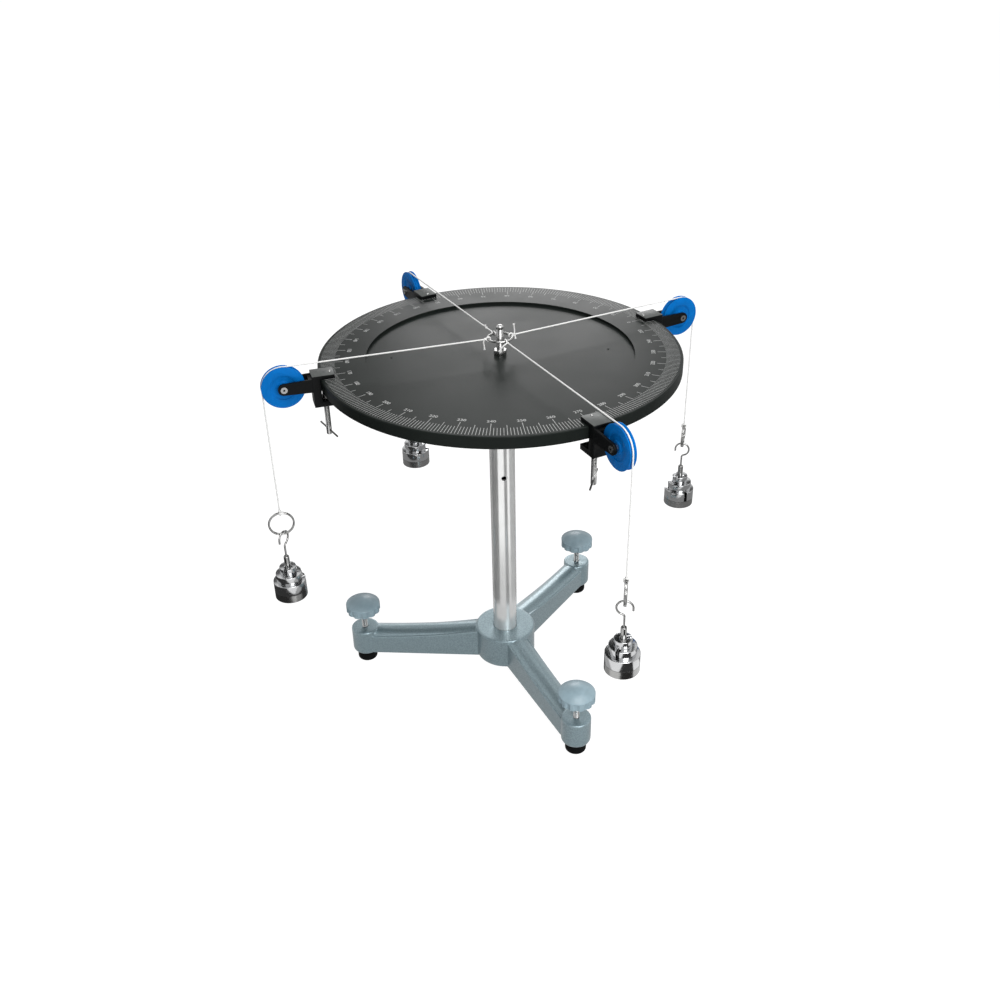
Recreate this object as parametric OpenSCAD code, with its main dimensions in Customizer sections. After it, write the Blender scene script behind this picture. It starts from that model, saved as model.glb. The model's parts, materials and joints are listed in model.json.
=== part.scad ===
// Force table: a round degree table on a tripod stand, with four clamp-on pulleys,
// strings tied to a centre ring, and slotted masses hanging from the strings.
// Millimetres. The origin is on the column's axis at floor level, and +Z is up.

/* [Table] */
// Diameter of the degree table
table_d = 400; // [360:1:440]
// Height of the table's top face above the floor
table_top_z = 438.5; // [420:0.5:470]
// Thickness of the rim that the clamps grip
rim_h = 13.6; // [11:0.1:16]
// Diameter of the shallow recess inside the degree scale
recess_d = 296; // [260:1:310]
// Depth of the recess in the top
recess_depth = 3; // [2:0.1:4]
// Diameter of the hollow in the underside
under_d = 350; // [320:1:356]
// Thickness of the plate between the two recesses
web_h = 6; // [5:0.1:7]
// Chamfer on the two edges of the rim
rim_chamfer = 0.8; // [0.4:0.1:1.5]
// Diameter of the two drilled dimples in the recess
dimple_d = 3; // [2:0.1:5]
// Radius at which the dimples lie
dimple_r = 120; // [100:1:125]
// Direction of the first dimple, in degrees
dimple_angle = 341; // [0:1:359]
// Depth of a dimple
dimple_depth = 1; // [0.5:0.1:1.5]

/* [Column] */
// Outer diameter of the column tube
column_d = 30; // [27:0.5:34]
// Wall of the column tube
column_wall = 3; // [2:0.1:4]
// Depth of the column's seat in the hub
column_seat = 35; // [25:1:38]
// Diameter of the tommy-bar hole in the column
tommy_d = 6; // [4:0.1:8]
// Height of the tommy-bar hole
tommy_z = 284; // [150:1:340]
// Direction that the tommy-bar hole faces, in degrees
tommy_angle = 254; // [0:1:359]
// Diameter of the flange under the table
flange_d = 70; // [50:1:90]
// Thickness of the flange under the table
flange_h = 8; // [6:0.5:10]
// Length of the flange's spigot in the column
spigot_h = 40; // [35:1:60]

/* [Centre post and ring] */
// Diameter of the centre post
post_d = 8; // [6:0.1:10]
// Height of the post above the table's top face
post_rise = 31; // [26:0.5:40]
// Length of the post's foot below the recess floor
post_foot = 34; // [20:1:38]
// Height of the cone at the top of the post
post_tip_h = 1.6; // [0.8:0.1:2.5]
// Diameter of the flat on top of the post
post_tip_d = 4.6; // [3:0.1:5.5]
// Width across the flats of the post's nut
nut_af = 13; // [12:0.1:16]
// Height of the nut
nut_h = 5; // [4:0.1:7]
// Outer diameter of the centre ring
ring_d = 29.2; // [26:0.1:34]
// Thickness of the centre ring's wire
ring_wire = 2.4; // [1.6:0.1:3]

/* [Tripod base] */
// Diameter of the hub
hub_d = 75; // [66:0.5:84]
// Height of the hub's top
hub_top = 59; // [55:0.5:64]
// Height of the bosses' underside above the floor
boss_z = 14.4; // [13:0.1:16]
// Height of the hub's underside above the floor
hub_z = 16; // [13:0.1:19]
// Height of the arms' underside above the floor
arm_z = 17; // [14.8:0.1:19]
// Radius inside the hub at which the arms begin
arm_start = 20; // [18:0.5:26]
// Radius inside the hub at which the arms' crowns begin
crown_start = 34; // [30:0.5:35]
// Rounding of the hub's and the bosses' lower edge
lower_round = 5; // [3:0.5:7]
// Rounding of the hub's and the bosses' upper edge
upper_round = 2; // [1:0.25:3]
// Width of an arm
arm_w = 28.6; // [25.6:0.2:30]
// Height of the ledge along each side of the arm, at the foot
ledge_z = 42; // [38:0.5:43]
// Radius of the curve in which the ledge rises to the hub
rise_r = 900; // [850:10:1400]
// Width of the rounded crown on the arm
crown_w = 24.2; // [20:0.2:25]
// Height of the crown's top at the foot
crown_z = 49.4; // [47:0.1:49.6]
// Radius of the curve in which the crown's top rises to the hub
crown_rise_r = 1220; // [1190:10:1600]
// Radius of the crown's rounded top, across the arm
crown_r = 20; // [16:0.5:40]
// Radius at which the three levelling feet stand
feet_r = 183; // [170:1:200]
// Direction of the front foot, in degrees
front_foot_angle = 274; // [260:1:285]
// Diameter of the boss at the end of each arm
boss_d = 35; // [32:0.5:38]
// Height of the top of each boss
boss_top = 50; // [46:0.5:53]

/* [Levelling feet] */
// Diameter of the levelling screw
foot_screw_d = 7; // [6:0.1:8]
// Diameter of the rubber foot
rubber_d = 25; // [22:0.5:28]
// Height of the rubber foot
rubber_h = 12; // [10:0.5:12.5]
// Thickness of rubber under the screw's tip
rubber_sole = 4; // [3:0.5:6]
// Rounding of the rubber foot's edges
rubber_round = 3; // [2:0.25:4]
// Height of the knob's underside
knob_z = 76; // [72:0.5:82]
// Diameter of the knob
knob_d = 43; // [38:0.5:46]
// Height of the knob's fluted side
knob_side_h = 11; // [9:0.5:14]
// Rise of the knob's domed top
knob_dome_h = 7; // [6:0.5:9]
// Number of flutes round the knob
flutes = 12; // [8:1:14]
// Diameter of a flute
flute_d = 8; // [5:0.5:9]
// Height of the flutes, from the knob's underside
flute_h = 9; // [6:0.5:9]
// Depth of a flute
flute_depth = 1.5; // [0.8:0.1:2.2]
// Depth of the screw's seat in the knob
knob_seat = 14; // [10:0.5:14.5]

/* [Pulley clamps] */
// Width of a clamp
clamp_w = 20; // [18:0.5:24]
// Reach of the jaws over the table's edge
jaw_reach = 15; // [13.5:0.5:16]
// Thickness of the upper jaw
upper_jaw_h = 4.6; // [3:0.1:6]
// Height of the mouth between the two jaws
mouth_h = 25.5; // [24:0.1:28]
// Thickness of the lower jaw
lower_jaw_h = 6; // [5:0.1:8]
// Thickness of the clamp's back
clamp_back = 8.6; // [7:0.1:9.5]
// Gap between the clamp's back and the rim
rim_gap = 0.4; // [0.3:0.05:1]
// Distance of the clamping screw from the table's edge
screw_inset = 4; // [3.5:0.1:5]
// Diameter of the clamping screw
screw_d = 6; // [5:0.1:6.5]
// Length of screw below the lower jaw
screw_tail = 37.5; // [30:0.5:45]
// Diameter of the pad on the screw's tip
pad_d = 8; // [7:0.1:8.2]
// Thickness of the pad
pad_h = 3; // [2.5:0.1:3.2]
// Diameter of the screw's nose in the pad
nose_d = 4; // [3:0.1:4.5]
// Length of the screw's nose
nose_h = 1.5; // [1:0.1:2]
// Diameter of the cross pin in the screw
pin_d = 2; // [1.5:0.1:2.5]
// Length of the cross pin
pin_l = 42; // [34:1:46]
// Distance of the cross pin from the screw's lower end
pin_rise = 5.5; // [4:0.1:8]

/* [Fork and pulleys] */
// Distance of the pulley's axle from the table's edge
axle_out = 39; // [37:0.5:42]
// Depth of the axle below the table's top face
axle_drop = 6.2; // [5:0.1:7]
// Diameter of the pulley
pulley_d = 46.6; // [44:0.2:48]
// Width of the pulley
pulley_w = 7.5; // [7:0.1:8]
// Depth of the string groove
groove_depth = 2.05; // [1.9:0.05:2.6]
// Width of the groove at its bottom
groove_floor_w = 2.1; // [2:0.1:2.6]
// Width of the groove at its mouth
groove_mouth_w = 5.4; // [5.2:0.1:6]
// Diameter inside which each face of the pulley is dished
dish_d = 27; // [22:0.5:34]
// Diameter of the hub inside the dish
pulley_hub_d = 14; // [10:0.5:16]
// Depth of the dish in each face
dish_depth = 0.9; // [0.5:0.1:1.5]
// Diameter of the tubular axle
axle_d = 4.8; // [4:0.1:5.5]
// Diameter of the hole through the axle
axle_hole_d = 2.4; // [1.5:0.1:3]
// Diameter of the axle's flared heads
axle_head_d = 7.2; // [6:0.1:8.5]
// Thickness of a flared head
axle_head_h = 0.8; // [0.5:0.1:1.2]
// Diameter of the spacer beside the pulley
spacer_d = 8.6; // [7:0.1:9.5]
// Length of the spacer beside the pulley
spacer_l = 3; // [2:0.1:3.4]
// Thickness of a fork arm
fork_t = 2.8; // [2:0.1:3]
// Height of a fork arm at the clamp's back
fork_root_h = 15; // [13.5:0.5:16]
// Height of a fork arm at the axle
fork_end_h = 12.6; // [11:0.1:13]
// Length of the bridge that joins the two fork arms
bridge_l = 3.5; // [2:0.1:4.5]

/* [Strings] */
// Diameter of the string
string_d = 1.5; // [1:0.1:1.6]
// Diameter of a knot
knot_d = 3.4; // [3:0.1:4]

/* [Hanging rings] */
// Outer diameter of the split ring on each string
split_ring_d = 30; // [27:0.5:33]
// Thickness of the split ring's wire
split_wire = 2; // [1.6:0.1:2.4]
// Distance between the split ring's two turns
split_pitch = 1.3; // [1:0.1:1.5]

/* [Mass hangers] */
// Thickness of the hook's wire
hook_wire = 2.2; // [1.8:0.1:2.6]
// Radius of the hook, to the middle of its wire
hook_r = 8.6; // [8:0.1:10]
// Angle by which the hook leaves the rod
hook_lead = 70; // [60:1:75]
// Straight length between the hook's two bends
hook_link = 1; // [0.8:0.1:1.4]
// Straight length at the hook's tip
hook_tip = 3; // [2:0.1:5]
// Length of the thin rod between hook and stem
rod_l = 13; // [10:0.5:16]
// Diameter of the hanger's stem
stem_d = 6.5; // [5:0.1:7]
// Rounding of the stem's top
stem_round = 1.2; // [0.6:0.1:1.2]
// Length of the stem above the base
stem_l = 45; // [42:0.5:60]
// Diameter of the hanger's base
hanger_base_d = 37.5; // [34:0.5:40]
// Thickness of the hanger's base
hanger_base_h = 9.2; // [7:0.1:12]

/* [Slotted masses] */
// Diameter of the large mass
large_d = 37.5; // [34:0.5:40]
// Thickness of the large mass
large_h = 12.5; // [10:0.1:14]
// Diameter of the medium mass
medium_d = 30; // [26:0.5:32]
// Thickness of the medium mass
medium_h = 9.8; // [8:0.1:11]
// Diameter of the small mass
small_d = 19.5; // [17:0.5:22]
// Thickness of the small mass
small_h = 8.5; // [7:0.1:10]
// Width of the slot that passes over the hanger's rod
slot_w = 4; // [3:0.1:4.8]

/* [Layout] */
// Direction of the left clamp, in degrees
left_angle = 174.3; // [160:0.1:180]
// Direction of the left back clamp, in degrees
left_back_angle = 95.7; // [85:0.1:110]
// Direction of the right back clamp, in degrees
right_back_angle = 5; // [-5:0.1:20]
// Direction of the right front clamp, in degrees
right_front_angle = 275.4; // [262:0.1:285]
// Length of string below the left pulley
left_drop = 152; // [120:1:180]
// Length of string below the left back pulley
left_back_drop = 149; // [120:1:180]
// Length of string below the right back pulley
right_back_drop = 153; // [120:1:180]
// Length of string below the right front pulley
right_front_drop = 139; // [120:1:180]
// Turn of the left split ring from the radial direction
left_ring_turn = 0; // [-90:1:180]
// Turn of the left back split ring from the radial direction
left_back_ring_turn = 20; // [-90:1:180]
// Turn of the right back split ring from the radial direction
right_back_ring_turn = 48; // [-90:1:180]
// Turn of the right front split ring from the radial direction
right_front_ring_turn = -36; // [-90:1:180]
// Turn of the left hook from the radial direction
left_hook_turn = 50; // [-90:1:180]
// Turn of the left back hook from the radial direction
left_back_hook_turn = 110; // [-90:1:180]
// Turn of the right back hook from the radial direction
right_back_hook_turn = 138; // [-90:1:180]
// Turn of the right front hook from the radial direction
right_front_hook_turn = 54; // [-90:1:180]
// Turn of the left cross pin from the radial direction
left_pin_turn = 106; // [-90:1:180]
// Turn of the left back cross pin from the radial direction
left_back_pin_turn = 20; // [-90:1:180]
// Turn of the right back cross pin from the radial direction
right_back_pin_turn = 60; // [-90:1:180]
// Turn of the right front cross pin from the radial direction
right_front_pin_turn = -42; // [-90:1:180]
// Turn of the masses' slots from the hook, one mass to the next
slot_step = 125; // [90:1:150]

/* [Clearances] */
// Radial clearance of a shaft, screw or spigot in its hole
running_gap = 0.05; // [0.02:0.01:0.1]
// Clearance of a string or ring from what it lies on
loose_gap = 0.3; // [0.2:0.05:0.4]
// Clearance between a hook and the split ring that it hangs on
hook_gap = 0.6; // [0.4:0.05:1]
// Gap that keeps stacked pieces apart
stack_gap = 0.05; // [0.02:0.01:0.1]
// Clearance of the masses round the stem
stem_gap = 0.3; // [0.2:0.05:0.5]
// Gap beside the pulley
side_gap = 0.15; // [0.1:0.05:0.3]
// Gap between the string over the pulley and the string below it
drop_gap = 0.5; // [0.4:0.1:0.8]

/* [Hidden] */
$fn = 64;
FEET = ["front", "back", "left"];
CLAMPS = ["left", "left_back", "right_back", "right_front"];
STAND_PIECES = ["tripod_base", "column_tube", "table_stem", "table_disc", "centre_post", "post_nut", "centre_ring"];
FOOT_PIECES = ["levelling_screw", "levelling_knob", "rubber_foot"];
CLAMP_PIECES = ["clamp_body", "clamp_pad", "clamp_screw", "cross_pin", "pulley_axle", "pulley", "string_run",
                "string_drop", "wire_ring", "mass_hanger", "slotted_masses"];

// A cut reaches this far past the face that it starts from
past = 1;
// The wire is a little thicker where two of its bends are joined
joint_swell = 1.06;
// The crown of an arm reaches this far down into it
crown_sink = 2;
// Facets of a full turn of the crown's rounded top
crown_fn = 180;
// Facets of a full turn of the curve in which the arms rise
rise_fn = 720;

table_r = table_d / 2;
rim_bottom_z = table_top_z - rim_h;
recess_z = table_top_z - recess_depth;
web_bottom_z = recess_z - web_h;
column_top_z = web_bottom_z - flange_h;
column_bottom_z = hub_top - column_seat;
post_top_z = table_top_z + post_rise;
post_bottom_z = recess_z - post_foot;
post_hole_d = post_d + 2 * running_gap;

foot_hole_d = foot_screw_d + 2 * running_gap;
knob_shoulder_z = knob_z + knob_side_h;
knob_top_z = knob_shoulder_z + knob_dome_h;
dome_r = (pow(knob_d / 2, 2) + pow(knob_dome_h, 2)) / (2 * knob_dome_h);

jaw_in_r = table_r - jaw_reach;
back_in_r = table_r + rim_gap;
back_out_r = back_in_r + clamp_back;
mouth_z = table_top_z - mouth_h;
jaw_bottom_z = mouth_z - lower_jaw_h;
screw_r = table_r - screw_inset;
screw_bottom_z = jaw_bottom_z - screw_tail;
pad_bottom_z = rim_bottom_z - pad_h;
pin_z = screw_bottom_z + pin_rise;

axle_r = table_r + axle_out;
axle_z = table_top_z - axle_drop;
fork_in = pulley_w / 2 + side_gap + spacer_l;
fork_out = fork_in + fork_t;
axle_hole_fit_d = axle_d + 2 * running_gap;

string_r = string_d / 2;
wrap_r = pulley_d / 2 - groove_depth + loose_gap + string_r;
string_z = axle_z + wrap_r;
hang_r = axle_r + wrap_r;
ring_r = (ring_d - ring_wire) / 2;
ring_loop_r = ring_wire / 2 + loose_gap + string_r;
split_r = (split_ring_d - split_wire) / 2;
split_half_w = split_pitch / 2 + split_wire / 2;
drop_loop_r = split_half_w + loose_gap + string_r;
ring_knot_r = ring_r + ring_wire / 2 + loose_gap + knot_d / 2;
drop_knot_z = split_r + split_wire / 2 + loose_gap + knot_d / 2;

// Heights on a hanger, measured from the middle of its split ring
hook_z = -(split_r - split_wire / 2) + hook_gap + hook_wire / 2 - hook_r;
bend_r = (hook_r * cos(hook_lead) - hook_link * sin(hook_lead)) / (1 - cos(hook_lead));
link_z = hook_z - hook_r * sin(hook_lead) - hook_link * cos(hook_lead);
bend_z = link_z - bend_r * sin(hook_lead);
stem_top_z = bend_z - rod_l;
base_top_z = stem_top_z - stem_l;

function clamp_index(clamp) = search([clamp], CLAMPS)[0];
function clamp_angle(clamp) =
    [left_angle, left_back_angle, right_back_angle, right_front_angle][clamp_index(clamp)];
function drop_l(clamp) = [left_drop, left_back_drop, right_back_drop, right_front_drop][clamp_index(clamp)];
function ring_turn(clamp) =
    [left_ring_turn, left_back_ring_turn, right_back_ring_turn, right_front_ring_turn][clamp_index(clamp)];
function hook_turn(clamp) =
    [left_hook_turn, left_back_hook_turn, right_back_hook_turn, right_front_hook_turn][clamp_index(clamp)];
function pin_turn(clamp) =
    [left_pin_turn, left_back_pin_turn, right_back_pin_turn, right_front_pin_turn][clamp_index(clamp)];
function foot_angle(foot) = front_foot_angle + search([foot], FEET)[0] * 360 / len(FEET);
function split_z(clamp) = axle_z - drop_l(clamp) - split_ring_d / 2;

// Places its children with +X pointing out along a clamp
module at_clamp(clamp) {
    rotate([0, 0, clamp_angle(clamp)]) children();
}

// Places its children on a clamp's plumb line, at the middle of the split ring
module at_hang(clamp, turn) {
    at_clamp(clamp) translate([hang_r, 0, split_z(clamp)]) rotate([0, 0, turn]) children();
}

// Places its children on a levelling foot's axis
module at_foot(foot) {
    rotate([0, 0, foot_angle(foot)]) translate([feet_r, 0, 0]) children();
}

// Places its children on a clamp's axle, with +Z along the axle
module at_axle(clamp) {
    at_clamp(clamp) translate([axle_r, 0, axle_z]) rotate([90, 0, 0]) children();
}

// Half section of a turned piece with rounded lower and upper edges
module turned_section(r, low, high, low_round, high_round) {
    translate([0, low]) square([r - low_round, high - low]);
    translate([0, low + low_round]) square([r, high - low - low_round - high_round]);
    translate([r - low_round, low + low_round]) circle(r = low_round);
    translate([r - high_round, high - high_round]) circle(r = high_round);
    translate([0, low + low_round]) square([r - high_round, high - low - low_round]);
}

// A bent round wire in the XZ plane, from angle a0 to angle a1 about the origin
module wire_arc(r, wire_r, a0, a1) {
    rotate([90, 0, 0]) rotate([0, 0, a0]) rotate_extrude(angle = a1 - a0) translate([r, 0]) circle(r = wire_r);
}

// Section of an arm's crown, with X measured from the middle of the curve in which it rises
module crown_section() {
    intersection() {
        translate([crown_rise_r, -crown_w / 2]) square([crown_z - ledge_z + crown_sink, crown_w]);
        translate([crown_rise_r + crown_r, 0]) circle(r = crown_r, $fn = crown_fn);
    }
}

// One arm, from the hub to the foot that stands on its end, with +X along it
module arm() {
    swing = asin((feet_r - crown_start) / crown_rise_r);
    difference() {
        translate([arm_start, -arm_w / 2, arm_z]) cube([feet_r - arm_start, arm_w, hub_top - arm_z]);
        translate([feet_r, 0, ledge_z + rise_r]) rotate([90, 0, 0])
            cylinder(r = rise_r, h = arm_w + 2 * past, center = true, $fn = rise_fn);
    }
    translate([feet_r, 0, crown_z + crown_rise_r]) rotate([90, 0, 0]) rotate([0, 0, -90 - swing])
        rotate_extrude(angle = swing, $fn = rise_fn) crown_section();
}

module tripod_base() {
    color("slategray") difference() {
        union() {
            rotate_extrude() turned_section(hub_d / 2, hub_z, hub_top, lower_round, upper_round);
            for (foot = FEET) {
                rotate([0, 0, foot_angle(foot)]) arm();
                at_foot(foot) rotate_extrude()
                    turned_section(boss_d / 2, boss_z, boss_top, lower_round, upper_round);
            }
        }
        translate([0, 0, column_bottom_z]) cylinder(d = column_d + 2 * running_gap, h = column_seat + past);
        for (foot = FEET)
            at_foot(foot) translate([0, 0, boss_z - past])
                cylinder(d = foot_hole_d, h = hub_top - boss_z + 2 * past);
    }
}

module column_tube() {
    column_h = column_top_z - column_bottom_z;
    color("silver") difference() {
        translate([0, 0, column_bottom_z]) cylinder(d = column_d, h = column_h);
        translate([0, 0, column_bottom_z - past]) cylinder(d = column_d - 2 * column_wall, h = column_h + 2 * past);
        rotate([0, 0, tommy_angle]) translate([0, 0, tommy_z]) rotate([0, 90, 0]) cylinder(d = tommy_d, h = column_d);
    }
}

module table_stem() {
    spigot_d = column_d - 2 * column_wall - 2 * running_gap;
    color("dimgray") difference() {
        union() {
            translate([0, 0, column_top_z]) cylinder(d = flange_d, h = flange_h);
            translate([0, 0, column_top_z - spigot_h]) cylinder(d = spigot_d, h = spigot_h + past);
        }
        translate([0, 0, post_bottom_z]) cylinder(d = post_hole_d, h = post_foot);
    }
}

module table_disc() {
    color([0.16, 0.16, 0.16]) difference() {
        rotate_extrude() polygon([
            [0, web_bottom_z], [under_d / 2, web_bottom_z], [under_d / 2, rim_bottom_z],
            [table_r - rim_chamfer, rim_bottom_z], [table_r, rim_bottom_z + rim_chamfer],
            [table_r, table_top_z - rim_chamfer], [table_r - rim_chamfer, table_top_z],
            [recess_d / 2, table_top_z], [recess_d / 2, recess_z], [0, recess_z]]);
        translate([0, 0, web_bottom_z - past]) cylinder(d = post_hole_d, h = web_h + 2 * past);
        for (side = [0, 180])
            rotate([0, 0, dimple_angle + side]) translate([dimple_r, 0, recess_z - dimple_depth])
                cylinder(d1 = 0, d2 = dimple_d, h = dimple_depth);
    }
}

module centre_post() {
    shank_h = post_top_z - post_tip_h - post_bottom_z;
    color("silver") {
        translate([0, 0, post_bottom_z]) cylinder(d = post_d, h = shank_h);
        translate([0, 0, post_bottom_z + shank_h]) cylinder(d1 = post_d, d2 = post_tip_d, h = post_tip_h);
    }
}

module post_nut() {
    color("silver") translate([0, 0, recess_z]) difference() {
        cylinder(d = nut_af / cos(30), h = nut_h, $fn = 6);
        translate([0, 0, -past]) cylinder(d = post_hole_d, h = nut_h + 2 * past);
    }
}

module centre_ring() {
    color("silver") translate([0, 0, string_z]) rotate_extrude() translate([ring_r, 0]) circle(d = ring_wire);
}

module levelling_screw(foot) {
    color("gray") at_foot(foot) translate([0, 0, rubber_sole])
        cylinder(d = foot_screw_d, h = knob_z + knob_seat - rubber_sole);
}

module levelling_knob(foot) {
    color("lightsteelblue") at_foot(foot) difference() {
        rotate_extrude() intersection() {
            translate([0, knob_z]) square([knob_d / 2, knob_side_h + knob_dome_h]);
            translate([0, knob_top_z - dome_r]) circle(r = dome_r);
        }
        translate([0, 0, knob_z - past]) cylinder(d = foot_hole_d, h = knob_seat + past);
        for (i = [0 : flutes - 1])
            rotate([0, 0, i * 360 / flutes]) translate([knob_d / 2 - flute_depth + flute_d / 2, 0, knob_z - past])
                cylinder(d = flute_d, h = flute_h + past);
    }
}

module rubber_foot(foot) {
    color([0.08, 0.08, 0.08]) at_foot(foot) difference() {
        rotate_extrude() turned_section(rubber_d / 2, 0, rubber_h, rubber_round, rubber_round / 2);
        translate([0, 0, rubber_sole]) cylinder(d = foot_hole_d, h = rubber_h);
    }
}

module fork_section() {
    root_r = back_in_r + clamp_back / 2;
    polygon([[root_r, axle_z - fork_root_h / 2], [axle_r, axle_z - fork_end_h / 2],
             [axle_r, axle_z + fork_end_h / 2], [root_r, axle_z + fork_root_h / 2]]);
    translate([axle_r, axle_z]) circle(d = fork_end_h);
}

module clamp_body(clamp) {
    color([0.13, 0.13, 0.13]) at_clamp(clamp) difference() {
        union() {
            rotate([90, 0, 0]) linear_extrude(clamp_w, center = true) polygon([
                [jaw_in_r, table_top_z], [back_in_r, table_top_z], [back_in_r, mouth_z], [jaw_in_r, mouth_z],
                [jaw_in_r, jaw_bottom_z], [back_out_r, jaw_bottom_z],
                [back_out_r, table_top_z + upper_jaw_h], [jaw_in_r, table_top_z + upper_jaw_h]]);
            for (side = [fork_out, -fork_in])
                translate([0, side, 0]) rotate([90, 0, 0]) linear_extrude(fork_t) fork_section();
            translate([back_out_r - past, -fork_in - past, axle_z - fork_end_h / 2])
                cube([bridge_l + past, 2 * (fork_in + past), fork_end_h]);
        }
        translate([screw_r, 0, jaw_bottom_z - past])
            cylinder(d = screw_d + 2 * running_gap, h = lower_jaw_h + 2 * past);
        translate([axle_r, 0, axle_z]) rotate([90, 0, 0])
            cylinder(d = axle_hole_fit_d, h = 2 * (fork_out + past), center = true);
    }
}

module clamp_pad(clamp) {
    color("gray") at_clamp(clamp) translate([screw_r, 0, pad_bottom_z]) difference() {
        cylinder(d = pad_d, h = pad_h);
        translate([0, 0, -past]) cylinder(d = nose_d + 2 * running_gap, h = nose_h + running_gap + past);
    }
}

module clamp_screw(clamp) {
    screw_h = pad_bottom_z - screw_bottom_z;
    color("silver") at_clamp(clamp) translate([screw_r, 0, screw_bottom_z]) difference() {
        union() {
            cylinder(d = screw_d, h = screw_h);
            cylinder(d = nose_d, h = screw_h + nose_h);
        }
        translate([0, 0, pin_rise]) rotate([0, 90, pin_turn(clamp)])
            cylinder(d = pin_d + 2 * running_gap, h = screw_d + 2 * past, center = true);
    }
}

module cross_pin(clamp) {
    color("silver") at_clamp(clamp) translate([screw_r, 0, pin_z]) rotate([0, 90, pin_turn(clamp)])
        cylinder(d = pin_d, h = pin_l, center = true);
}

module pulley_axle(clamp) {
    color("silver") at_axle(clamp) {
        difference() {
            union() {
                cylinder(d = axle_d, h = 2 * fork_out, center = true);
                for (side = [0, 180])
                    rotate([side, 0, 0]) translate([0, 0, fork_out]) cylinder(d = axle_head_d, h = axle_head_h);
            }
            cylinder(d = axle_hole_d, h = 2 * (fork_out + axle_head_h + past), center = true);
        }
        for (side = [0, 180])
            rotate([side, 0, 0]) translate([0, 0, fork_in - spacer_l]) difference() {
                cylinder(d = spacer_d, h = spacer_l);
                translate([0, 0, -past]) cylinder(d = axle_hole_fit_d, h = spacer_l + 2 * past);
            }
    }
}

module pulley(clamp) {
    half = pulley_w / 2;
    rim_r = pulley_d / 2;
    web = half - dish_depth;
    color([0.03, 0.39, 0.71]) at_axle(clamp) rotate_extrude() polygon([
        [axle_hole_fit_d / 2, -half], [pulley_hub_d / 2, -half], [pulley_hub_d / 2, -web], [dish_d / 2, -web],
        [dish_d / 2, -half], [rim_r, -half], [rim_r, -groove_mouth_w / 2],
        [rim_r - groove_depth, -groove_floor_w / 2], [rim_r - groove_depth, groove_floor_w / 2],
        [rim_r, groove_mouth_w / 2], [rim_r, half], [dish_d / 2, half], [dish_d / 2, web],
        [pulley_hub_d / 2, web], [pulley_hub_d / 2, half], [axle_hole_fit_d / 2, half]]);
}

module string_run(clamp) {
    loop_out_r = ring_r + ring_loop_r;
    color("white") at_clamp(clamp) {
        translate([ring_r, 0, string_z]) wire_arc(ring_loop_r, string_r, 0, 360);
        translate([ring_knot_r, 0, string_z]) sphere(d = knot_d);
        translate([loop_out_r, 0, string_z]) rotate([0, 90, 0]) cylinder(r = string_r, h = axle_r - loop_out_r);
        translate([axle_r, 0, axle_z]) wire_arc(wrap_r, string_r, 0, 90);
    }
}

module string_drop(clamp) {
    loop_top_z = split_r + drop_loop_r;
    top_z = axle_z - drop_gap - split_z(clamp);
    color("white") at_hang(clamp, ring_turn(clamp)) {
        translate([0, 0, loop_top_z]) cylinder(r = string_r, h = top_z - loop_top_z);
        translate([0, 0, drop_knot_z]) sphere(d = knot_d);
        translate([0, 0, split_r]) rotate([0, 0, 90]) wire_arc(drop_loop_r, string_r, 0, 360);
    }
}

module wire_ring(clamp) {
    color("silver") at_hang(clamp, ring_turn(clamp)) rotate([90, 0, 0]) rotate_extrude()
        for (side = [-1, 1]) translate([split_r, side * split_pitch / 2]) circle(d = split_wire);
}

module mass_hanger(clamp) {
    wire_r = hook_wire / 2;
    color("silver") at_hang(clamp, hook_turn(clamp)) {
        translate([hook_r, 0, hook_z - hook_tip]) cylinder(r = wire_r, h = hook_tip);
        translate([0, 0, hook_z]) wire_arc(hook_r, wire_r, 0, 180 + hook_lead);
        translate([-bend_r * (1 - cos(hook_lead)), 0, link_z]) rotate([0, -hook_lead, 0]) {
            cylinder(r = wire_r, h = hook_link);
            sphere(r = wire_r * joint_swell);
            translate([0, 0, hook_link]) sphere(r = wire_r * joint_swell);
        }
        translate([-bend_r, 0, bend_z]) wire_arc(bend_r, wire_r, 0, hook_lead);
        translate([0, 0, bend_z]) sphere(r = wire_r * joint_swell);
        translate([hook_r, 0, hook_z]) sphere(r = wire_r * joint_swell);
        translate([0, 0, stem_top_z - stem_round]) cylinder(r = wire_r, h = rod_l + stem_round);
        rotate_extrude() turned_section(stem_d / 2, base_top_z - past, stem_top_z, past / 2, stem_round);
        translate([0, 0, base_top_z - hanger_base_h]) cylinder(d = hanger_base_d, h = hanger_base_h);
    }
}

module slotted_mass(d, h, turn) {
    rotate([0, 0, turn]) difference() {
        cylinder(d = d, h = h);
        translate([0, 0, -past]) cylinder(d = stem_d + 2 * stem_gap, h = h + 2 * past);
        translate([0, -slot_w / 2, -past]) cube([d, slot_w, h + 2 * past]);
    }
}

module slotted_masses(clamp) {
    color("silver") at_hang(clamp, hook_turn(clamp)) translate([0, 0, base_top_z + stack_gap]) {
        slotted_mass(large_d, large_h, slot_step);
        translate([0, 0, large_h + stack_gap]) slotted_mass(medium_d, medium_h, 2 * slot_step);
        translate([0, 0, large_h + medium_h + 2 * stack_gap]) slotted_mass(small_d, small_h, 3 * slot_step);
    }
}

tripod_base();
column_tube();
table_stem();
table_disc();
centre_post();
post_nut();
centre_ring();
for (foot = FEET) {
    levelling_screw(foot);
    levelling_knob(foot);
    rubber_foot(foot);
}
for (clamp = CLAMPS) {
    clamp_body(clamp);
    clamp_pad(clamp);
    clamp_screw(clamp);
    cross_pin(clamp);
    pulley_axle(clamp);
    pulley(clamp);
    string_run(clamp);
    string_drop(clamp);
    wire_ring(clamp);
    mass_hanger(clamp);
    slotted_masses(clamp);
}
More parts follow.
